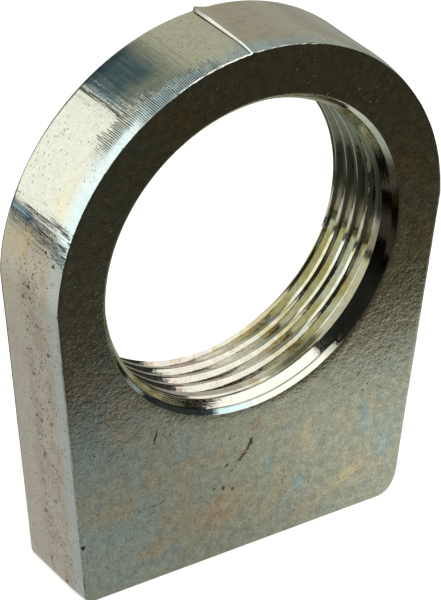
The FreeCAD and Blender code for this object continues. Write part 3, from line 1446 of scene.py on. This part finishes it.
@dataclass(frozen=True)
class RearTable:
    """What the cut edge and the bore reflect of the table beside and behind the nut."""

    level: float
    beside: Colour = (0.72, 0.72, 0.68)
    farther: Colour = (1.0, 1.0, 0.92)
    far_left: Colour = (0.12, 0.145, 0.16)
    behind: Colour = (0.085, 0.088, 0.062)
    behind_right: Colour = (0.28, 0.29, 0.205)
    far_right: Colour = (0.43, 0.46, 0.42)

    def build(self) -> Object:
        """Lays the card.

        Returns:
            The card.
        """
        sheet = NodeSheet("rear_table")
        x, y, _ = sheet.axes
        away = sheet.add("ShaderNodeVectorMath", {0: sheet.place}, operation="LENGTH").outputs["Value"]
        left = sheet.mix(self.beside, self.farther, sheet.between(away, 95, 190))
        left = sheet.mix(left, self.far_left, sheet.between(away, 370, 460))
        right = sheet.mix(self.behind, self.behind_right, sheet.between(x, 0, 40))
        right = sheet.mix(right, self.far_right, sheet.between(away, 190, 350))
        border = sheet.maths("MULTIPLY_ADD", y, 0.45, sheet.maths("ADD", x, 20.0))
        glow = sheet.mix(left, right, sheet.between(border, -8, 8))
        return hang(sheet, lying(self.level, REACH), glow)


@dataclass(frozen=True)
class RearWall:
    """An upright card behind the nut, olive on its left and brighter towards its right."""

    azimuths: tuple[float, float] = (-26, 33)
    heights: tuple[float, float] = (2, 70)
    away: float = 0.6
    left: Colour = (0.37, 0.44, 0.40)
    right: Colour = (0.82, 0.86, 0.72)

    def build(self) -> Object:
        """Hangs the card.

        Returns:
            The card.
        """
        sheet = NodeSheet("rear_wall")
        glow = sheet.mix(self.left, self.right, sheet.between(sheet.axes[0], -20, 130))
        return hang(sheet, facing(self.azimuths, self.heights, self.away), glow)


@dataclass
class Studio:
    """The floor, the light and the camera."""

    floor_z: float = CutPlate.foot_z * MM
    floor_radius: float = 3.0
    floor_colour: Colour = (0.5, 0.5, 0.5)
    floor_glow: Colour = (1.0, 1.0, 0.99)
    floor_strength: float = 0.72
    card_lift: float = 0.00005
    camera_place: Place = (-0.27563879, -0.39312354, 0.28088112)
    camera_right: Place = (0.82882912, -0.55878858, 0.02824201)
    camera_down: Place = (-0.27129615, -0.44552362, -0.85317472)
    lens: float = 210.3
    sensor: float = 36.0
    nearest: float = 0.01
    dim: Colour = (0.04, 0.042, 0.036)
    wall: Colour = (0.86, 0.86, 0.84)

    def floor(self) -> Object:
        """Lays the pale floor.

        Returns:
            The floor.
        """
        bm = bmesh.new()
        bmesh.ops.create_circle(bm, cap_ends=True, segments=96, radius=self.floor_radius)
        bmesh.ops.translate(bm, verts=bm.verts[:], vec=(0, 0, self.floor_z))
        sheet = NodeSheet("pale_floor")
        inputs = {
            "Base Color": (*self.floor_colour, 1), "Roughness": 0.9, "Specular IOR Level": 0.1,
            "Emission Color": (*self.floor_glow, 1), "Emission Strength": self.floor_strength,
        }
        shader = sheet.add("ShaderNodeBsdfPrincipled", inputs)
        sheet.add("ShaderNodeOutputMaterial", {"Surface": shader.outputs[0]})
        floor = finish_mesh(bm, "floor", sheet.material)
        return floor

    def camera(self) -> Object:
        """Sets the camera where the photograph was taken from.

        Returns:
            The camera.
        """
        data = bpy.data.cameras.new("camera")
        data.lens = self.lens
        data.sensor_width = self.sensor
        data.clip_start = self.nearest
        camera = show("camera", data)
        right = Vector(self.camera_right)
        up = -Vector(self.camera_down)
        turn = Matrix((right, up, right.cross(up))).transposed().to_4x4()
        camera.matrix_world = Matrix.Translation(self.camera_place) @ turn
        bpy.context.scene.camera = camera
        return camera

    def world(self) -> None:
        """Fills the room with a dim even light, and shows a pale wall past the floor's edge."""
        world = bpy.data.worlds.new("room")
        bpy.context.scene.world = world
        world.use_nodes = True
        tree = world.node_tree
        seen = tree.nodes.new("ShaderNodeLightPath").outputs["Is Camera Ray"]
        room = tree.nodes.new("ShaderNodeMix")
        room.data_type = "RGBA"
        room.inputs[6].default_value = (*self.dim, 1)
        room.inputs[7].default_value = (*self.wall, 1)
        tree.links.new(seen, room.inputs[0])
        tree.links.new(room.outputs[2], tree.nodes["Background"].inputs[0])

    def lights(self) -> list[Object]:
        """Hangs the soft boxes and the cards.

        Returns:
            All of them.
        """
        z = self.floor_z + self.card_lift
        items = [
            SoftBox(
                "left_box", centre=(-0.387, 0.252, 0.425), aim=(0.0105, -0.0515, 0.425),
                width=0.532, height=0.89, glow=2.1, tint=(0.91, 0.99, 1.0),
            ),
            SoftBox(
                "top_box", centre=(0.40, -0.10, 0.70), aim=(0.40, -0.10, 0),
                width=1.38, height=0.60, glow=1.5,
            ),
            SoftBox(
                "front_fill", centre=(0.188, -0.577, 0.50), aim=(0, 0, 0.05),
                width=1.0, height=0.80, glow=1.5,
            ),
            SoftBox(
                "right_wall", centre=(0.4245, 0.4715, 0.22), aim=(0, 0, 0.22),
                width=0.55, height=0.54, glow=0.57, tint=(1.0, 0.98, 0.84),
            ),
            FrontTable(z),
            RearTable(z),
            RearWall(),
            Card("high_right", facing(azimuths=(33, 80), heights=(37, 74), reach=0.4), (0.62, 0.67, 0.64)),
            Card("low_right", facing(azimuths=(34, 70), heights=(-6, 7), reach=0.5), (0.46, 0.455, 0.38)),
        ]
        return [item.build() for item in items]

    def build(self) -> None:
        """Sets up the whole studio."""
        self.floor()
        self.world()
        self.lights()
        self.camera()
        settings = bpy.context.scene.view_settings
        settings.view_transform = "Standard"
        settings.look = "None"


def main() -> None:
    logging.basicConfig(level=logging.INFO, format="%(name)s: %(message)s")
    finishes = {
        Zone.FACE: PlatedFace(stains=FRONT_STAINS).material(),
        Zone.BACK: PlatedFace(name="plated_back").material(),
        Zone.EDGE: CutEdge().material(),
        Zone.BORE: TurnedBore().material(),
    }
    nut = NutBody().build(finishes)
    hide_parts("nut_body")
    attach(nut, "root")
    log.info("%s: %d faces", nut.name, len(nut.data.polygons))
    Studio().build()
    log.info("studio: floor, soft boxes, cards and camera")


if __name__ == "__main__":
    main()
